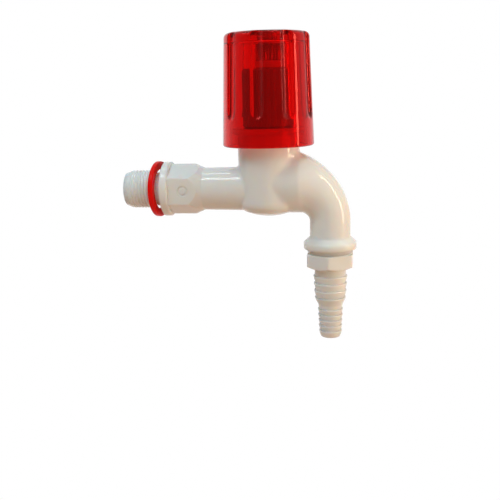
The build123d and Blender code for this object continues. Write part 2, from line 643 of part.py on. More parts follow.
PIECES = (
    tap_body,
    inlet_gasket,
    hose_nozzle,
    nozzle_gasket,
    bonnet,
    bonnet_gasket,
    spindle,
    spindle_o_rings,
    valve_jumper,
    seat_washer,
    washer_screw,
    handle,
    handle_screw,
    handle_cap,
)


def export_pieces():
    """Writes each piece to its own STEP file, named for the piece."""
    os.makedirs("parts", exist_ok=True)
    for make_piece in PIECES:
        made = make_piece()
        solids = made if isinstance(made, list) else made.solids()
        export_step(Compound(children=list(solids)), f"parts/{make_piece.__name__}.step")


export_pieces()
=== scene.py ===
"""The looks of a plastic bib tap with a clear red handle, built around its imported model, in metres."""

import logging
import math
from dataclasses import dataclass, replace
from enum import Enum

import bpy
import numpy as np
from mathutils import Matrix, Vector


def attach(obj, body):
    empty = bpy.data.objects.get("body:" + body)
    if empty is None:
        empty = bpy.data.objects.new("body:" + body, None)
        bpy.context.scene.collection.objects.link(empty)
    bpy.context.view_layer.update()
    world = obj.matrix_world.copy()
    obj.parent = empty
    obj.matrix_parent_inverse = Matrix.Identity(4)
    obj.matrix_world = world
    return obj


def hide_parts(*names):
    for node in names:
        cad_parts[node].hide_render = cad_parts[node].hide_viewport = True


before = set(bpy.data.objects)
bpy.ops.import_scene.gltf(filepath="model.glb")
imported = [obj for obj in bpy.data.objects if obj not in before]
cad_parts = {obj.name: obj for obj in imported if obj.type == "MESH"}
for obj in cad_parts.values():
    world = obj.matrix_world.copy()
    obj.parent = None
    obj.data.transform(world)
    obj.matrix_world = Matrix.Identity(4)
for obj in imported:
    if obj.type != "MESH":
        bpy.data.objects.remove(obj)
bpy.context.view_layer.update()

MM = 0.001
LOG = logging.getLogger("bib_tap")
SPINDLE_X = 59.03
SPOUT_X = 92.15
ROW_SLACK = 0.01
RAMP_STOPS = (0.35, 0.65)


class Body(Enum):
    """The rigid bodies that the built pieces ride on."""

    FIXED = "body"
    OPERATOR = "operator"


class Slot(Enum):
    """The record's material slot names for the built pieces; no piece in this script is given one of them."""

    WHITE = "white_plastic"
    CLEAR_RED = "red_clear_plastic"


class Axis(Enum):
    """The axis that a turned surface goes round."""

    ALONG_X = "x"
    ALONG_Z = "z"


class NodeSheet:
    """A material's node tree, with short ways to add and join its nodes."""

    def __init__(self, name: str) -> None:
        """Starts an empty node material.

        Args:
            name: The material's name.
        """
        self.material = bpy.data.materials.new(name)
        self.material.use_nodes = True
        self.tree = self.material.node_tree
        self.tree.nodes.clear()
        self.output = self.add("ShaderNodeOutputMaterial")

    def add(self, kind: str, **inputs: object) -> bpy.types.Node:
        """Adds a node and sets its sockets.

        Args:
            kind: The node's Blender type.
            **inputs: Values by socket name, with spaces written as underscores.

        Returns:
            The new node.
        """
        node = self.tree.nodes.new(kind)
        for name, value in inputs.items():
            node.inputs[name.replace("_", " ")].default_value = value
        return node

    def join(self, source: bpy.types.NodeSocket, target: bpy.types.NodeSocket) -> None:
        """Links one socket to another."""
        self.tree.links.new(source, target)

    def noise(self, scale: float, detail: float, squeeze: float = 1.0) -> bpy.types.NodeSocket:
        """Noise over the piece's own coordinates.

        Args:
            scale: Cells to a metre.
            detail: Octaves.
            squeeze: The scale along Z against the others; under 1 it draws the cells out into streaks.

        Returns:
            The noise's value socket.
        """
        coordinates = self.add("ShaderNodeTexCoord")
        mapping = self.add("ShaderNodeMapping", Scale=(1.0, 1.0, squeeze))
        texture = self.add("ShaderNodeTexNoise", Scale=scale, Detail=detail)
        self.join(coordinates.outputs["Object"], mapping.inputs["Vector"])
        self.join(mapping.outputs["Vector"], texture.inputs["Vector"])
        return texture.outputs["Fac"]

    def ramp(self, source: bpy.types.NodeSocket, low: tuple, high: tuple) -> bpy.types.NodeSocket:
        """A colour ramp between two colours over the middle of a value's range.

        Args:
            source: The value.
            low: The colour at the ramp's first stop.
            high: The colour at its second stop.

        Returns:
            The colour socket.
        """
        node = self.add("ShaderNodeValToRGB")
        for element, place, colour in zip(node.color_ramp.elements, RAMP_STOPS, (low, high)):
            element.position = place
            element.color = (*colour, 1.0)
        self.join(source, node.inputs["Fac"])
        return node.outputs["Color"]

    def spread(self, source: bpy.types.NodeSocket, low: float, high: float) -> bpy.types.NodeSocket:
        """Maps a value from 0..1 to a range.

        Args:
            source: The value.
            low: What 0 becomes.
            high: What 1 becomes.

        Returns:
            The mapped value's socket.
        """
        node = self.add("ShaderNodeMapRange", To_Min=low, To_Max=high)
        self.join(source, node.inputs["Value"])
        return node.outputs["Result"]

    def along_x(self, stops: tuple[tuple[float, float], ...]) -> bpy.types.NodeSocket:
        """A value that follows the piece's own X coordinate.

        Args:
            stops: Places along X and the value at each, in order.

        Returns:
            The value's socket.
        """
        first, last, largest = stops[0][0], stops[-1][0], max(value for _, value in stops)
        coordinates = self.add("ShaderNodeTexCoord")
        split = self.add("ShaderNodeSeparateXYZ")
        share = self.add("ShaderNodeMapRange", From_Min=first, From_Max=last)
        ramp = self.add("ShaderNodeValToRGB")
        elements = ramp.color_ramp.elements
        while len(elements) < len(stops):
            elements.new(1.0)
        for element, (place, value) in zip(elements, stops):
            element.position = (place - first) / (last - first)
            element.color = (value / largest, value / largest, value / largest, 1.0)
        scaled = self.add("ShaderNodeMath")
        scaled.operation = "MULTIPLY"
        scaled.inputs[1].default_value = largest
        self.join(coordinates.outputs["Object"], split.inputs["Vector"])
        self.join(split.outputs["X"], share.inputs["Value"])
        self.join(share.outputs["Result"], ramp.inputs["Fac"])
        self.join(ramp.outputs["Color"], scaled.inputs[0])
        return scaled.outputs["Value"]

    def bump(self, source: bpy.types.NodeSocket, height: float, strength: float) -> bpy.types.NodeSocket:
        """A bump from a height value.

        Args:
            source: The height, 0 to 1.
            height: The height's depth in metres.
            strength: The bump's strength.

        Returns:
            The normal socket.
        """
        node = self.add("ShaderNodeBump", Strength=strength, Distance=height)
        self.join(source, node.inputs["Height"])
        return node.outputs["Normal"]


@dataclass(frozen=True)
class MouldedPlastic:
    """An opaque or milky moulded plastic: faint cloudy colour, uneven gloss and a fine moulded skin.

    The soft zones are places along X, each with how far the shading rounds off the edges there.
    """

    name: str
    pale: tuple[float, float, float]
    deep: tuple[float, float, float]
    roughness: float
    glow: float = 0.0
    glow_depth: float = 3.0 * MM
    glow_reach: tuple[float, float, float] = (1.0, 0.7, 0.5)
    skin_height: float = 0.02 * MM
    skin_scale: float = 900.0
    skin_strength: float = 0.25
    cloud_scale: float = 55.0
    gloss_spread: float = 0.15
    refraction: float = 1.46
    shine: float = 0.5
    soft_zones: tuple[tuple[float, float], ...] = ()
    soft_samples: int = 8

    def material(self) -> bpy.types.Material:
        """Builds the node material."""
        sheet = NodeSheet(self.name)
        shader = sheet.add("ShaderNodeBsdfPrincipled", IOR=self.refraction)
        clouds = sheet.noise(self.cloud_scale, 4.0)
        grain = sheet.noise(self.skin_scale, 3.0)
        sheet.join(sheet.ramp(clouds, self.deep, self.pale), shader.inputs["Base Color"])
        matt, glossy = self.roughness * (1 + self.gloss_spread), self.roughness * (1 - self.gloss_spread)
        sheet.join(sheet.spread(clouds, glossy, matt), shader.inputs["Roughness"])
        skin = sheet.bump(grain, self.skin_height, self.skin_strength)
        if self.soft_zones:
            soft_edges = sheet.add("ShaderNodeBevel")
            soft_edges.samples = self.soft_samples
            sheet.join(sheet.along_x(self.soft_zones), soft_edges.inputs["Radius"])
            sheet.join(soft_edges.outputs["Normal"], skin.node.inputs["Normal"])
        sheet.join(skin, shader.inputs["Normal"])
        shader.inputs["Subsurface Weight"].default_value = self.glow
        shader.inputs["Subsurface Radius"].default_value = self.glow_reach
        shader.inputs["Subsurface Scale"].default_value = self.glow_depth
        shader.inputs["Specular IOR Level"].default_value = self.shine
        sheet.join(shader.outputs["BSDF"], sheet.output.inputs["Surface"])
        return sheet.material


@dataclass(frozen=True)
class ClearPlastic:
    """A clear tinted plastic: mostly see-through, with a little body colour, and deeper where it is thick."""

    name: str
    tint: tuple[float, float, float]
    tint_density: float
    surface: tuple[float, float, float]
    roughness: float
    clearness: float
    sheen_tint: tuple[float, float, float]
    refraction: float = 1.49
    streak_scale: float = 320.0
    streak_squeeze: float = 0.04
    streak_height: float = 0.12 * MM
    streak_strength: float = 0.5
    streak_shade: float = 0.88
    gloss_spread: float = 0.3

    def material(self) -> bpy.types.Material:
        """Builds the node material, with absorption inside and faint streaks drawn down its surface."""
        sheet = NodeSheet(self.name)
        shader = sheet.add("ShaderNodeBsdfPrincipled", IOR=self.refraction)
        shader.inputs["Transmission Weight"].default_value = self.clearness
        shader.inputs["Specular Tint"].default_value = (*self.sheen_tint, 1.0)
        streaks = sheet.noise(self.streak_scale, 2.0, self.streak_squeeze)
        darker = tuple(self.streak_shade * channel for channel in self.surface)
        sheet.join(sheet.ramp(streaks, darker, self.surface), shader.inputs["Base Color"])
        matt, glossy = self.roughness * (1 + self.gloss_spread), self.roughness * (1 - self.gloss_spread)
        sheet.join(sheet.spread(streaks, glossy, matt), shader.inputs["Roughness"])
        sheet.join(sheet.bump(streaks, self.streak_height, self.streak_strength), shader.inputs["Normal"])
        inside = sheet.add("ShaderNodeVolumeAbsorption", Density=self.tint_density)
        inside.inputs["Color"].default_value = (*self.tint, 1.0)
        sheet.join(shader.outputs["BSDF"], sheet.output.inputs["Surface"])
        sheet.join(inside.outputs["Volume"], sheet.output.inputs["Volume"])
        return sheet.material


@dataclass(frozen=True)
class PlainMetal:
    """A plain steel fastener with fine turned marks."""

    name: str
    colour: tuple[float, float, float]
    roughness: float
    mark_scale: float = 1500.0
    mark_shade: float = 0.8
    gloss_spread: float = 0.2

    def material(self) -> bpy.types.Material:
        """Builds the node material."""
        sheet = NodeSheet(self.name)
        shader = sheet.add("ShaderNodeBsdfPrincipled", Metallic=1.0)
        marks = sheet.noise(self.mark_scale, 2.0)
        darker = tuple(self.mark_shade * channel for channel in self.colour)
        sheet.join(sheet.ramp(marks, darker, self.colour), shader.inputs["Base Color"])
        matt, glossy = self.roughness * (1 + self.gloss_spread), self.roughness * (1 - self.gloss_spread)
        sheet.join(sheet.spread(marks, glossy, matt), shader.inputs["Roughness"])
        sheet.join(shader.outputs["BSDF"], sheet.output.inputs["Surface"])
        return sheet.material


@dataclass(frozen=True)
class Corner:
    """One corner of an outline, in millimetres, with its rounding and the steps on the side after it."""

    radius: float
    along: float
    rounding: float = 0.0
    steps: int = 0


def rounded_outline(corners: list[Corner], arc_points: int = 5, support: float = 0.08) -> np.ndarray:
    """A closed outline with its corners rounded.

    Each corner is replaced by an arc that touches both sides, with one more point close to each end of
    the arc so that the shading stays flat beyond it. A side may carry evenly spaced points of its own.

    Args:
        corners: The corners in order.
        arc_points: Points on each arc.
        support: The distance in millimetres from an arc's end to its extra point.

    Returns:
        The outline's points as rows of (radius, along).
    """
    places = np.array([(corner.radius, corner.along) for corner in corners])
    before = np.roll(places, 1, axis=0) - places
    after = np.roll(places, -1, axis=0) - places
    before /= np.linalg.norm(before, axis=1, keepdims=True)
    after /= np.linalg.norm(after, axis=1, keepdims=True)
    runs = []
    for corner, place, back, ahead in zip(corners, places, before, after):
        if corner.rounding == 0.0:
            runs.append(place[None, :])
            continue
        half = math.acos(float(np.clip(back @ ahead, -1.0, 1.0))) / 2
        reach = corner.rounding / math.tan(half)
        middle = (back + ahead) / np.linalg.norm(back + ahead)
        centre = place + middle * corner.rounding / math.sin(half)
        share = np.linspace(-1.0, 1.0, arc_points)[:, None] * (math.pi / 2 - half)
        across = (ahead - back) / np.linalg.norm(ahead - back)
        arc = centre + corner.rounding * (np.sin(share) * across - np.cos(share) * middle)
        ends = place + back * (reach + support), place + ahead * (reach + support)
        runs.append(np.vstack([ends[0][None, :], arc, ends[1][None, :]]))
    whole = []
    for index, (corner, run) in enumerate(zip(corners, runs)):
        whole.append(run)
        following = runs[(index + 1) % len(runs)]
        share = np.linspace(0.0, 1.0, corner.steps + 2)[1:-1, None]
        whole.append(run[-1] + (following[0] - run[-1]) * share)
    return np.vstack(whole)


def soft_least(first: np.ndarray, second: np.ndarray, softness: float) -> np.ndarray:
    """The smaller of two lengths, with the corner where they cross rounded.

    It is least - softness x log(1 + exp(-|first - second| / softness)).

    Args:
        first: Lengths.
        second: Other lengths.
        softness: How far the rounding reaches.

    Returns:
        The soft least of each pair.
    """
    gap = np.abs(first - second) / softness
    return np.minimum(first, second) - softness * np.log1p(np.exp(-gap))


def around(count: int, start_deg: float = 0.0) -> np.ndarray:
    """Evenly spaced angles round a full turn, in radians."""
    return math.radians(start_deg) + np.arange(count) * (2 * math.pi / count)


def turned_points(
    radius: np.ndarray, along: np.ndarray, angle: np.ndarray, axis: Axis, place: tuple[float, float, float]
) -> np.ndarray:
    """Points of a turned surface: (radius cos angle, radius sin angle) round an axis, moved to its place.

    Args:
        radius: Radii in millimetres, rows by columns.
        along: Distances along the axis, rows by 1.
        angle: Angles in radians, 1 by columns.
        axis: The axis; round X the angle starts at Y, and round Z at X.
        place: A point of the axis, in millimetres.

    Returns:
        Points in metres, rows by columns by 3.
    """
    first, second = radius * np.cos(angle), radius * np.sin(angle)
    along = np.broadcast_to(along, first.shape)
    if axis is Axis.ALONG_X:
        points = np.stack([along, first, second], axis=-1)
    else:
        points = np.stack([first, second, along], axis=-1)
    return (points + np.array(place)) * MM


def closed_grid_mesh(name: str, points: np.ndarray) -> bpy.types.Mesh:
    """A smooth mesh of quads from a grid that closes on itself both ways, with its faces outwards.

    The quads' winding is turned round if the volume that they enclose comes out negative.

    Args:
        name: The mesh's name.
        points: Points in metres, rows by columns by 3.

    Returns:
        The mesh.
    """
    rows, columns = points.shape[:2]
    row, column = np.arange(rows)[:, None], np.arange(columns)[None, :]
    next_row, next_column = (row + 1) % rows, (column + 1) % columns
    corners = (
        row * columns + column,
        row * columns + next_column,
        next_row * columns + next_column,
        next_row * columns + column,
    )
    quads = np.stack(np.broadcast_arrays(*corners), axis=-1).reshape(-1, 4)
    flat = points.reshape(-1, 3)
    a, b, c, d = (flat[quads[:, side]] for side in range(4))
    volume = np.sum(a * np.cross(b, c)) + np.sum(a * np.cross(c, d))
    if volume < 0:
        quads = quads[:, ::-1]
    mesh = bpy.data.meshes.new(name)
    mesh.from_pydata(flat, [], quads)
    mesh.polygons.foreach_set("use_smooth", np.ones(len(quads), dtype=bool))
    mesh.update()
    return mesh


def add_piece(
    mesh: bpy.types.Mesh, finish: bpy.types.Material, body: Body, stands_for: str
) -> bpy.types.Object:
    """Adds a mesh to the scene as a piece of the tap.

    Args:
        mesh: The mesh, already in its place.
        finish: Its material.
        body: The body that it rides on.
        stands_for: The CAD node that it replaces.

    Returns:
        The piece.
    """
    mesh.materials.clear()
    mesh.materials.append(finish)
    piece = bpy.data.objects.new(mesh.name, mesh)
    bpy.context.scene.collection.objects.link(piece)
    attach(piece, body.value)
    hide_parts(stands_for)
    LOG.info("built %s: %d faces, %s", piece.name, len(mesh.polygons), finish.name)
    return piece


def dress_node(node: str, finish: bpy.types.Material) -> None:
    """Gives a CAD node a finish in all its slots.

    Args:
        node: The CAD node.
        finish: The material.
    """
    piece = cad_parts[node]
    piece.data.materials.clear()
    piece.data.materials.append(finish)
    LOG.info("dressed %s with %s", node, finish.name)


@dataclass
class TapMoulding:
    """The white moulding, with a real thread on its inlet."""

    crest_radius: float = 10.4775
    core_radius: float = 9.3
    shank_end_x: float = -1.0
    thread_depth: float = 0.34
    pitch: float = 1.814
    tip_x: float = -21.42
    tip_radius: float = 9.1
    lead_slope: float = 0.4
    lead_softness: float = 0.15
    thread_end_x: float = -6.15
    run_out: float = 1.6
    run_out_height: float = 0.4
    buried_radius: float = 8.4
    sleeve_radius: float = 7.9
    sleeve_tuck: float = 0.05
    columns: int = 168
    rows: int = 150

    def build(self, finish: bpy.types.Material, thread_finish: bpy.types.Material) -> None:
        """Builds the moulding and its thread.

        Args:
            finish: The white plastic with softened edges.
            thread_finish: The white plastic with its edges as they are.
        """
        add_piece(self._moulding_mesh(), finish, Body.FIXED, "tap_body")
        add_piece(self._thread_mesh(), thread_finish, Body.FIXED, "tap_body")

    def _moulding_mesh(self) -> bpy.types.Mesh:
        """The node's mesh with the inlet shank let down to the thread's core.

        Points of the shank outside the core radius move in to it along their radius.

        Returns:
            The mesh.
        """
        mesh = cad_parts["tap_body"].data.copy()
        mesh.name = "tap_moulding"
        points = np.empty(len(mesh.vertices) * 3, dtype=np.float32)
        mesh.vertices.foreach_get("co", points)
        points = points.reshape(-1, 3)
        radius = np.hypot(points[:, 1], points[:, 2])
        shank = (points[:, 0] < self.shank_end_x * MM) & (radius > self.core_radius * MM)
        points[shank, 1:] *= (self.core_radius * MM / radius[shank])[:, None]
        mesh.vertices.foreach_set("co", points.ravel())
        mesh.update()
        return mesh

    def _thread_mesh(self) -> bpy.types.Mesh:
        """The thread as a closed sleeve round the shank.

        The outer radius is the crest less half the depth x (1 - cos(2 pi x / pitch - angle)), held under
        a lead cone at the tip and faded out before the collar. The sleeve's inner wall lies in the shank.

        Returns:
            The mesh.
        """
        x = np.linspace(self.tip_x, self.thread_end_x, self.rows)[:, None]
        angle = around(self.columns)[None, :]
        wave = 0.5 - 0.5 * np.cos(2 * math.pi * x / self.pitch - angle)
        outer = self.crest_radius - self.thread_depth * wave
        lead = self.tip_radius + (x - self.tip_x) * self.lead_slope
        outer = soft_least(outer, lead, self.lead_softness)
        fade = np.clip((self.thread_end_x - x) / self.run_out, 0.0, 1.0)
        fade = fade * fade * (3 - 2 * fade)
        height = self.run_out_height + (1 - self.run_out_height) * fade
        outer = self.buried_radius + (outer - self.buried_radius) * height
        inner = np.full((2, self.columns), self.sleeve_radius)
        inner_x = [[self.thread_end_x - self.sleeve_tuck], [self.tip_x + self.sleeve_tuck]]
        radius, along = np.vstack([outer, inner]), np.vstack([x, inner_x])
        points = turned_points(radius, along, angle, Axis.ALONG_X, (0.0, 0.0, 0.0))
        return closed_grid_mesh("inlet_thread", points)


@dataclass(frozen=True)
class BarbRun:
    """A run of barbs of one hose size, from its top, in millimetres."""

    count: int
    first_z: float
    pitch: float
    first_diameter: float
    last_diameter: float


@dataclass
class HoseNozzle:
    """The hose nozzle: hexagon and two runs of barbs with softened crests, turned about the spout's axis."""

    across_flats: float = 24.7
    hex_top: float = -35.8
    hex_low: float = -44.0
    chamfer: float = 1.6
    seat_radius: float = 12.0
    seat_top: float = -35.2
    thread_radius: float = 10.4
    thread_top: float = -29.8
    bore_radius: float = 5.5
    tail_bore_radius: float = 3.8
    bore_step: float = -61.5
    barb_depth: float = 0.9
    upper_barbs: BarbRun = BarbRun(4, -48.2, 4.07, 19.1, 17.8)
    lower_barbs: BarbRun = BarbRun(5, -67.1, 3.13, 14.4, 13.2)
    cone_end: float = -64.75
    cone_radius: float = 6.8
    end_z: float = -83.4
    end_radius: float = 5.3
    crest_rounding: float = 0.55
    root_rounding: float = 0.22
    hex_rounding: float = 0.3
    hex_softness: float = 0.34
    hex_rim_softness: float = 0.1
    hex_top_band: float = 0.45
    hex_least_radius: float = 10.8
    columns: int = 240

    def build(self, finish: bpy.types.Material) -> None:
        """Builds the nozzle.

        Args:
            finish: The white plastic.
        """
        add_piece(self._mesh(), finish, Body.FIXED, "hose_nozzle")

    def _barbs(self, run: BarbRun) -> list[Corner]:
        """The corners of a run of barbs from the top: root, then crest, at each shelf.

        Args:
            run: The run of barbs.

        Returns:
            The corners.
        """
        corners = []
        narrowing = run.last_diameter - run.first_diameter
        for step in range(run.count):
            crest = (run.first_diameter + narrowing * step / (run.count - 1)) / 2
            shelf = run.first_z - step * run.pitch
            corners.append(Corner(crest - self.barb_depth, shelf, self.root_rounding))
            corners.append(Corner(crest, shelf, self.crest_rounding, 1))
        return corners

    def _outline(self) -> np.ndarray:
        """The nozzle's whole outline, outside down and back up the bore, as if the hexagon were round."""
        corner_radius = self.across_flats / math.sqrt(3)
        upper_root = self.upper_barbs.first_diameter / 2 - self.barb_depth
        corners = [
            Corner(self.bore_radius, self.thread_top, 0.2),
            Corner(self.thread_radius, self.thread_top, 0.3),
            Corner(self.thread_radius, self.seat_top, 0.05),
            Corner(self.seat_radius, self.seat_top, 0.1),
            Corner(self.seat_radius, self.hex_top, 0.05, 1),
            Corner(corner_radius, self.hex_top, self.hex_rounding, 12),
            Corner(corner_radius, self.hex_low + self.chamfer, self.hex_rounding, 8),
            Corner(corner_radius - 2 * self.chamfer, self.hex_low, self.hex_rounding),
            Corner(upper_root, self.hex_low, 0.5, 1),
            *self._barbs(self.upper_barbs),
            Corner(self.cone_radius, self.cone_end, 0.8),
            *self._barbs(self.lower_barbs),
            Corner(self.end_radius, self.end_z, 0.4),
            Corner(self.tail_bore_radius, self.end_z, 0.3),
            Corner(self.tail_bore_radius, self.bore_step),
            Corner(self.bore_radius, self.bore_step),
        ]
        return rounded_outline(corners)

    def _hexagon_radius(self, angle: np.ndarray) -> np.ndarray:
        """The hexagon's radius by angle: half its flats / cos(angle from the nearest flat), corners softened.

        Args:
            angle: Angles in radians; flats face along X.

        Returns:
            The radii.
        """
        sixth = math.pi / 3
        from_flat = np.mod(angle + sixth / 2, sixth) - sixth / 2
        own = self.across_flats / 2 / np.cos(from_flat)
        other = self.across_flats / 2 / np.cos(sixth - np.abs(from_flat))
        return soft_least(own, other, self.hex_softness)

    def _mesh(self) -> bpy.types.Mesh:
        """The outline turned about the spout's axis, with the hexagon's rows held under its flats.

        On the top face a row's distance out from the seat is shrunk to fit the flats, and below it a row
        takes the softer least of its own radius and the hexagon's.

        Returns:
            The mesh.
        """
        outline = self._outline()
        angle = around(self.columns)[None, :]
        row_radius, along = outline[:, :1], outline[:, 1:]
        flats = self._hexagon_radius(angle)
        corner_radius = self.across_flats / math.sqrt(3)
        share = np.clip((row_radius - self.seat_radius) / (corner_radius - self.seat_radius), 0.0, 1.0)
        on_top = row_radius - share * (corner_radius - flats)
        cut = soft_least(row_radius, flats, self.hex_rim_softness)
        in_hexagon = (along < self.hex_top + ROW_SLACK) & (along > self.hex_low - ROW_SLACK)
        in_hexagon &= row_radius > self.hex_least_radius
        near_top = in_hexagon & (along > self.hex_top - self.hex_top_band)
        radius = np.where(near_top, on_top, np.where(in_hexagon, cut, row_radius))
        points = turned_points(radius, along, angle, Axis.ALONG_Z, (SPOUT_X, 0.0, 0.0))
        return closed_grid_mesh("nozzle_moulding", points)


@dataclass
class CapHandle:
    """The clear red cap handle: a tapering shell with soft-edged flutes and a splined hub under its roof."""

    rim_z: float = 23.3
    rim_radius: float = 24.75
    top_z: float = 82.5
    top_radius: float = 22.7
    top_rounding: float = 2.6
    rim_rounding: float = 1.2
    wall: float = 3.5
    roof_z: float = 77.5
    flute_count: int = 9
    flute_angle_deg: float = -95.7
    flute_radius: float = 4.4
    flute_depth: float = 1.8
    flute_low_z: float = 37.8
    exit_radius: float = 9.0
    exit_limit: float = 0.999
    beyond_slope: float = 4.0
    edge_softness: float = 0.14
    uncut_rim: float = 3.0
    uncut_roof: float = 1.0
    uncut_inside: float = 0.5
    hub_radius: float = 9.0
    hub_low_z: float = 67.9
    socket_radius: float = 5.45
    socket_top_z: float = 76.4
    spline_count: int = 18
    spline_depth: float = 0.7
    cap_radius: float = 7.6
    cap_seat_z: float = 80.7
    screw_pocket_radius: float = 3.8
    screw_seat_z: float = 77.8
    screw_hole_radius: float = 1.85
    columns: int = 396
    wall_rows: int = 84

    def build(self, finish: bpy.types.Material, steel: bpy.types.Material) -> None:
        """Builds the handle and dresses its cap and screw.

        Args:
            finish: The clear red plastic.
            steel: The screw's steel.
        """
        add_piece(self._mesh(), finish, Body.OPERATOR, "handle")
        dress_node("handle_cap", finish)
        dress_node("handle_screw", steel)

    def _side_radius(self, z: np.ndarray) -> np.ndarray:
        """The radius of the tapering side at a height."""
        share = (z - self.rim_z) / (self.top_z - self.rim_z)
        return self.rim_radius + (self.top_radius - self.rim_radius) * share

    def _outline(self) -> np.ndarray:
        """The handle's whole outline, outside up, down through the screw's way and round the hub."""
        roof_radius = float(self._side_radius(np.array(self.roof_z))) - self.wall
        corners = [
            Corner(self.rim_radius - self.wall, self.rim_z, 0.5),
            Corner(self.rim_radius, self.rim_z, self.rim_rounding, self.wall_rows),
            Corner(self.top_radius, self.top_z, self.top_rounding, 3),
            Corner(self.cap_radius, self.top_z, 0.25),
            Corner(self.cap_radius, self.cap_seat_z, 0.1),
            Corner(self.screw_pocket_radius, self.cap_seat_z, 0.15),
            Corner(self.screw_pocket_radius, self.screw_seat_z),
            Corner(self.screw_hole_radius, self.screw_seat_z),
            Corner(self.screw_hole_radius, self.socket_top_z),
            Corner(self.socket_radius, self.socket_top_z),
            Corner(self.socket_radius, self.hub_low_z),
            Corner(self.hub_radius, self.hub_low_z, 0.4, 2),
            Corner(self.hub_radius, self.roof_z, 0.8, 2),
            Corner(roof_radius, self.roof_z, 1.5, 12),
        ]
        return rounded_outline(corners, arc_points=9)

    def _flute_radius(self, z: np.ndarray, angle: np.ndarray) -> np.ndarray:
        """The distance from the axis to the flutes' round cutters, by height and angle.

        A cutter's middle stands at the side's radius + cutter radius - depth, and on the way out of the
        wall, below the turn, further out by exit radius - sqrt(exit radius squared - drop squared). The
        distance is middle x cos(t) - sqrt(cutter squared - (middle x sin(t)) squared), with t the angle
        from the nearest flute, and beyond the cutter it carries on rising.

        Args:
            z: Heights, rows by 1.
            angle: Angles in radians, 1 by columns.

        Returns:
            The distances, rows by columns.
        """
        pitch = 2 * math.pi / self.flute_count
        from_flute = np.mod(angle - math.radians(self.flute_angle_deg) + pitch / 2, pitch) - pitch / 2
        arc_drop = math.sqrt(self.exit_radius**2 - (self.exit_radius - self.flute_depth) ** 2)
        drop = np.clip(self.flute_low_z + arc_drop - z, 0.0, self.exit_limit * self.exit_radius)
        way_out = self.exit_radius - np.sqrt(self.exit_radius**2 - drop**2)
        middle = self._side_radius(z) + self.flute_radius - self.flute_depth + way_out
        across = middle * np.sin(np.abs(from_flute))
        inside = np.clip(self.flute_radius**2 - across**2, 0.0, None)
        beyond = np.clip(across - self.flute_radius, 0.0, None)
        return middle * np.cos(from_flute) - np.sqrt(inside) + self.beyond_slope * beyond

    def _mesh(self) -> bpy.types.Mesh:
        """The outline turned about the spindle, cut by the flutes outside and splined in its socket.

        Returns:
            The mesh.
        """
        outline = self._outline()
        angle = around(self.columns, self.flute_angle_deg)[None, :]
        row_radius, along = outline[:, :1], outline[:, 1:]
        outside = (row_radius > self.cap_radius + self.uncut_roof) & (along > self.rim_z + self.uncut_rim)
        outside &= row_radius > self._side_radius(along) - self.wall + self.uncut_inside
        cut = soft_least(row_radius, self._flute_radius(along, angle), self.edge_softness)
        radius = np.where(outside, cut, row_radius)
        socket = (np.abs(row_radius - self.socket_radius) < ROW_SLACK) & (along < self.socket_top_z + ROW_SLACK)
        tooth = np.abs(np.mod(angle * self.spline_count / (2 * math.pi) + 0.5, 1.0) - 0.5) * 2
        radius = np.where(socket, radius - self.spline_depth * tooth, radius)
        points = turned_points(radius, along, angle, Axis.ALONG_Z, (SPINDLE_X, 0.0, 0.0))
        return closed_grid_mesh("handle_shell", points)


@dataclass
class ValveGear:
    """The working parts inside: bonnet, spindle, jumper, seals and screws, dressed as they are."""

    white_nodes: tuple[str, ...] = ("spindle", "valve_jumper")
    rubber_nodes: tuple[str, ...] = ("nozzle_gasket", "bonnet_gasket", "spindle_o_rings", "seat_washer")
    grey_nodes: tuple[str, ...] = ("bonnet",)
    steel_nodes: tuple[str, ...] = ("washer_screw",)

    def dress(
        self,
        white: bpy.types.Material,
        rubber: bpy.types.Material,
        grey: bpy.types.Material,
        steel: bpy.types.Material,
    ) -> None:
        """Dresses every part.

        Args:
            white: The white plastic.
            rubber: The seals' rubber.
            grey: The bonnet's plastic.
            steel: The screw's steel.
        """
        for nodes, finish in (
            (self.white_nodes, white),
            (self.rubber_nodes, rubber),
            (self.grey_nodes, grey),
            (self.steel_nodes, steel),
        ):
            for node in nodes:
                dress_node(node, finish)


@dataclass
class PhotoCamera:
    """The camera, placed and turned as the photograph was taken."""

    place: tuple[float, float, float] = (116.6 * MM, -416.9 * MM, 51.9 * MM)
    yaw_deg: float = 9.43
    pitch_deg: float = -11.58
    roll_deg: float = 1.43
    lens_mm: float = 55.42
    sensor_mm: float = 36.0

    def build(self) -> bpy.types.Object:
        """Makes the camera and sets it as the scene's.

        It looks along +Y turned left by the yaw and up by the pitch, and is then rolled about that line.

        Returns:
            The camera object.
        """
        yaw, pitch = math.radians(self.yaw_deg), math.radians(self.pitch_deg)
        level = math.cos(pitch)
        forward = Vector((-math.sin(yaw) * level, math.cos(yaw) * level, math.sin(pitch)))
        right = forward.cross(Vector((0, 0, 1))).normalized()
        up = right.cross(forward)
        turn = Matrix.Rotation(math.radians(self.roll_deg), 3, forward)
        right, up = turn @ right, turn @ up
        lens = bpy.data.cameras.new("photo_camera")
        lens.lens = self.lens_mm
        lens.sensor_width = self.sensor_mm
        lens.sensor_fit = "HORIZONTAL"
        lens.clip_start = 10.0 * MM
        camera = bpy.data.objects.new("photo_camera", lens)
        axes = Matrix((right, up, -forward)).transposed().to_4x4()
        camera.matrix_world = Matrix.Translation(self.place) @ axes
        bpy.context.scene.collection.objects.link(camera)
        bpy.context.scene.camera = camera
        return camera


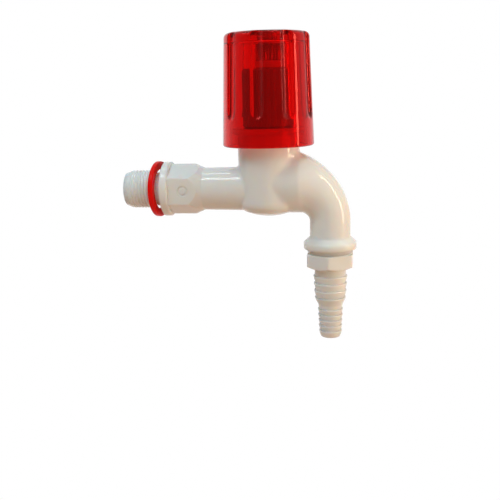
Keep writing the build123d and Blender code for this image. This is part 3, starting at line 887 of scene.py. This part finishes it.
@dataclass(frozen=True)
class SoftLamp:
    """One area lamp that looks at a point of the tap."""

    name: str
    place: tuple[float, float, float]
    aim: tuple[float, float, float]
    width: float
    height: float
    watts: float
    colour: tuple[float, float, float]
    mirrored: bool = True

    def build(self) -> bpy.types.Object:
        """Makes the lamp, turned to face its aim."""
        lamp = bpy.data.lights.new(self.name, "AREA")
        lamp.shape = "RECTANGLE"
        lamp.size = self.width
        lamp.size_y = self.height
        lamp.energy = self.watts
        lamp.color = self.colour
        holder = bpy.data.objects.new(self.name, lamp)
        direction = Vector(self.aim) - Vector(self.place)
        turn = direction.to_track_quat("-Z", "Y").to_matrix().to_4x4()
        holder.matrix_world = Matrix.Translation(self.place) @ turn
        holder.visible_glossy = self.mirrored
        bpy.context.scene.collection.objects.link(holder)
        return holder


@dataclass
class Studio:
    """The white ground, the soft lamps and the pale floor."""

    floor_z: float = -110.0 * MM
    floor_half: float = 1.5
    floor_colour: tuple[float, float, float] = (0.7, 0.4, 0.24)
    fill_colour: tuple[float, float, float] = (0.86, 0.97, 1.0)
    fill_strength: float = 0.12
    lamps: tuple[SoftLamp, ...] = (
        SoftLamp(
            "overhead",
            place=(0.05, 0.06, 0.8),
            aim=(0.05, 0.0, 0.0),
            width=1.0,
            height=0.04,
            watts=1.4,
            colour=(0.78, 0.95, 1.0),
        ),
        SoftLamp(
            "upper_left",
            place=(-0.45, -0.39, 0.7),
            aim=(-0.45, 0.0, 0.02),
            width=0.72,
            height=0.15,
            watts=2.8,
            colour=(0.8, 0.96, 1.0),
        ),
        SoftLamp(
            "right_strip",
            place=(0.65, -0.05, 0.06),
            aim=(0.04, 0.0, 0.0),
            width=0.07,
            height=0.8,
            watts=2.6,
            colour=(1.0, 0.8, 0.58),
        ),
        SoftLamp(
            "warm_side",
            place=(0.6, -0.4, 0.0),
            aim=(0.04, 0.0, 0.0),
            width=0.2,
            height=0.3,
            watts=0.9,
            colour=(1.0, 0.8, 0.6),
            mirrored=False,
        ),
        SoftLamp(
            "front_soft",
            place=(-0.02, -0.74, 0.66),
            aim=(0.05, 0.0, 0.02),
            width=0.5,
            height=0.4,
            watts=2.1,
            colour=(0.86, 0.98, 1.0),
            mirrored=False,
        ),
    )

    def build(self) -> None:
        """Builds the world, the lamps and the floor."""
        scene = bpy.context.scene
        scene.view_settings.view_transform = "Standard"
        self._white_world(scene)
        for lamp in self.lamps:
            lamp.build()
        self._floor()

    def _white_world(self, scene: bpy.types.Scene) -> None:
        """A world that is white to the eye and in reflections, and a soft fill for everything else.

        Args:
            scene: The scene that gets the world.
        """
        world = bpy.data.worlds.new("white_ground")
        world.use_nodes = True
        tree = world.node_tree
        tree.nodes.clear()
        output = tree.nodes.new("ShaderNodeOutputWorld")
        fill = tree.nodes.new("ShaderNodeBackground")
        fill.inputs["Color"].default_value = (*self.fill_colour, 1.0)
        fill.inputs["Strength"].default_value = self.fill_strength
        white = tree.nodes.new("ShaderNodeBackground")
        white.inputs["Color"].default_value = (1.0, 1.0, 1.0, 1.0)
        white.inputs["Strength"].default_value = 1.0
        seen = self._seen_rays(tree)
        blend = tree.nodes.new("ShaderNodeMixShader")
        tree.links.new(seen, blend.inputs["Fac"])
        tree.links.new(fill.outputs["Background"], blend.inputs[1])
        tree.links.new(white.outputs["Background"], blend.inputs[2])
        tree.links.new(blend.outputs["Shader"], output.inputs["Surface"])
        scene.world = world

    def _seen_rays(self, tree: bpy.types.NodeTree) -> bpy.types.NodeSocket:
        """One for camera, glossy and transmission rays, and zero for the rest.

        Args:
            tree: The node tree to add to.

        Returns:
            The value socket.
        """
        path = tree.nodes.new("ShaderNodeLightPath")
        first = tree.nodes.new("ShaderNodeMath")
        first.operation = "MAXIMUM"
        second = tree.nodes.new("ShaderNodeMath")
        second.operation = "MAXIMUM"
        tree.links.new(path.outputs["Is Camera Ray"], first.inputs[0])
        tree.links.new(path.outputs["Is Glossy Ray"], first.inputs[1])
        tree.links.new(first.outputs["Value"], second.inputs[0])
        tree.links.new(path.outputs["Is Transmission Ray"], second.inputs[1])
        return second.outputs["Value"]

    def _floor(self) -> bpy.types.Object:
        """A plain pale floor far below the nozzle.

        Returns:
            The floor object.
        """
        half, z = self.floor_half, self.floor_z
        mesh = bpy.data.meshes.new("floor")
        corners = [(-half, -half, z), (half, -half, z), (half, half, z), (-half, half, z)]
        mesh.from_pydata(corners, [], [(0, 1, 2, 3)])
        sheet = NodeSheet("pale_floor")
        paper = sheet.add("ShaderNodeBsdfPrincipled", Roughness=0.9)
        paper.inputs["Base Color"].default_value = (*self.floor_colour, 1.0)
        white = sheet.add("ShaderNodeEmission", Strength=1.0)
        blend = sheet.add("ShaderNodeMixShader")
        sheet.join(self._seen_rays(sheet.tree), blend.inputs["Fac"])
        sheet.join(paper.outputs["BSDF"], blend.inputs[1])
        sheet.join(white.outputs["Emission"], blend.inputs[2])
        sheet.join(blend.outputs["Shader"], sheet.output.inputs["Surface"])
        mesh.materials.append(sheet.material)
        floor = bpy.data.objects.new("floor", mesh)
        bpy.context.scene.collection.objects.link(floor)
        return floor


WHITE_PLASTIC = MouldedPlastic(
    "milky_white_plastic",
    pale=(0.87, 0.87, 0.85),
    deep=(0.84, 0.84, 0.82),
    roughness=0.1,
    glow=0.7,
    glow_depth=4.0 * MM,
    skin_height=0.01 * MM,
)
SOFT_WHITE_PLASTIC = replace(
    WHITE_PLASTIC,
    name="soft_edged_white_plastic",
    soft_zones=(
        (0.0 * MM, 0.8 * MM),
        (24.0 * MM, 0.8 * MM),
        (26.0 * MM, 0.0),
        (48.0 * MM, 0.0),
        (66.0 * MM, 3.0 * MM),
        (110.0 * MM, 3.0 * MM),
    ),
)
RED_RUBBER = MouldedPlastic(
    "red_gasket_rubber", pale=(0.95, 0.006, 0.004), deep=(0.9, 0.005, 0.003), roughness=0.3, shine=0.1
)
BLACK_RUBBER = MouldedPlastic("black_rubber", pale=(0.03, 0.03, 0.03), deep=(0.02, 0.02, 0.02), roughness=0.6)
GREY_PLASTIC = MouldedPlastic("dark_grey_plastic", pale=(0.22, 0.2, 0.2), deep=(0.16, 0.15, 0.15), roughness=0.5)
RED_CLEAR = ClearPlastic(
    "clear_red_plastic",
    tint=(0.992, 0.06, 0.06),
    tint_density=1400.0,
    surface=(0.84, 0.008, 0.01),
    roughness=0.06,
    clearness=0.93,
    sheen_tint=(1.0, 0.06, 0.05),
)
STEEL = PlainMetal("screw_steel", colour=(0.62, 0.61, 0.6), roughness=0.35)


def main() -> None:
    """Builds the studio and the tap's pieces in order."""
    logging.basicConfig(level=logging.INFO, format="%(name)s: %(message)s")
    PhotoCamera().build()
    Studio().build()
    white = WHITE_PLASTIC.material()
    steel = STEEL.material()
    TapMoulding().build(SOFT_WHITE_PLASTIC.material(), white)
    HoseNozzle().build(white)
    dress_node("inlet_gasket", RED_RUBBER.material())
    ValveGear().dress(white, BLACK_RUBBER.material(), GREY_PLASTIC.material(), steel)
    CapHandle().build(RED_CLEAR.material(), steel)


if __name__ == "__main__":
    main()
